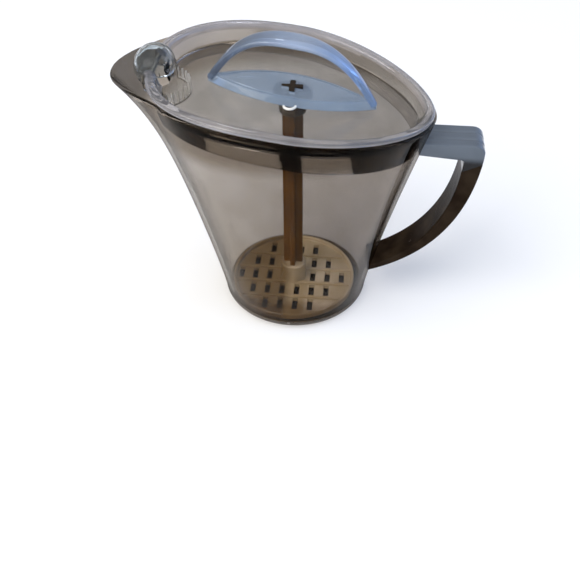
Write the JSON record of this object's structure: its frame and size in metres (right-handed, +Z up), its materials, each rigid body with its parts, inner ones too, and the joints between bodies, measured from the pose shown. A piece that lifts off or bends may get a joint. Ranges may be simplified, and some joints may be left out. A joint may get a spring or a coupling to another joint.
{
  "type": "iced tea maker",
  "caption": "Clear oval pitcher with a sloping lift-off lid, a turning pour shutter over the spout, and a handled plunger with a slotted press disc.",
  "frame": {"origin": "on the jug's flat base, under the axis of the plunger's rod", "axes": "+Z up, +X towards the handle, -X towards the spout, mirror plane y = 0"},
  "size_m": [0.2324, 0.142, 0.196],
  "materials": {
    "smoked_clear_plastic": "clear injection-moulded plastic with a smoky grey-brown tint, polished",
    "dark_handle_plastic": "dark smoky clear plastic, thick, polished",
    "smoked_lid_plastic": "clear injection-moulded plastic with a grey tint, polished",
    "clear_shutter_plastic": "clear colourless plastic, polished",
    "pin_plastic": "clear colourless plastic rod",
    "blue_grip_plastic": "pale blue translucent plastic, polished",
    "amber_rod_plastic": "dark amber-brown clear plastic",
    "smoked_disc_plastic": "smoky brown clear plastic, moulded grid"
  },
  "bodies": {
    "jug": {"jug_body": "smoked_clear_plastic", "jug_handle": "dark_handle_plastic"},
    "lid": {"lid": "smoked_lid_plastic", "strainer": "smoked_lid_plastic", "guide_collar": "smoked_lid_plastic", "shutter_pin": "pin_plastic"},
    "plunger": {"grip": "blue_grip_plastic", "press_rod": "amber_rod_plastic", "press_disc": "smoked_disc_plastic"},
    "shutter": {"shutter": "clear_shutter_plastic"}
  },
  "joints": [
    {"name": "lid_lift", "type": "slide", "parent": "jug", "child": "lid", "axis": [0, 0, 1], "range_m": [0, 0.18]},
    {"name": "plunger_slide", "type": "slide", "parent": "lid", "child": "plunger", "axis": [0, 0, 1], "range_m": [0, 0.12]},
    {"name": "shutter_turn", "type": "hinge", "parent": "lid", "child": "shutter", "pos_m": [-0.084, 0, 0.17036], "axis": [0, 1, 0], "range_deg": [0, 60]}
  ]
}
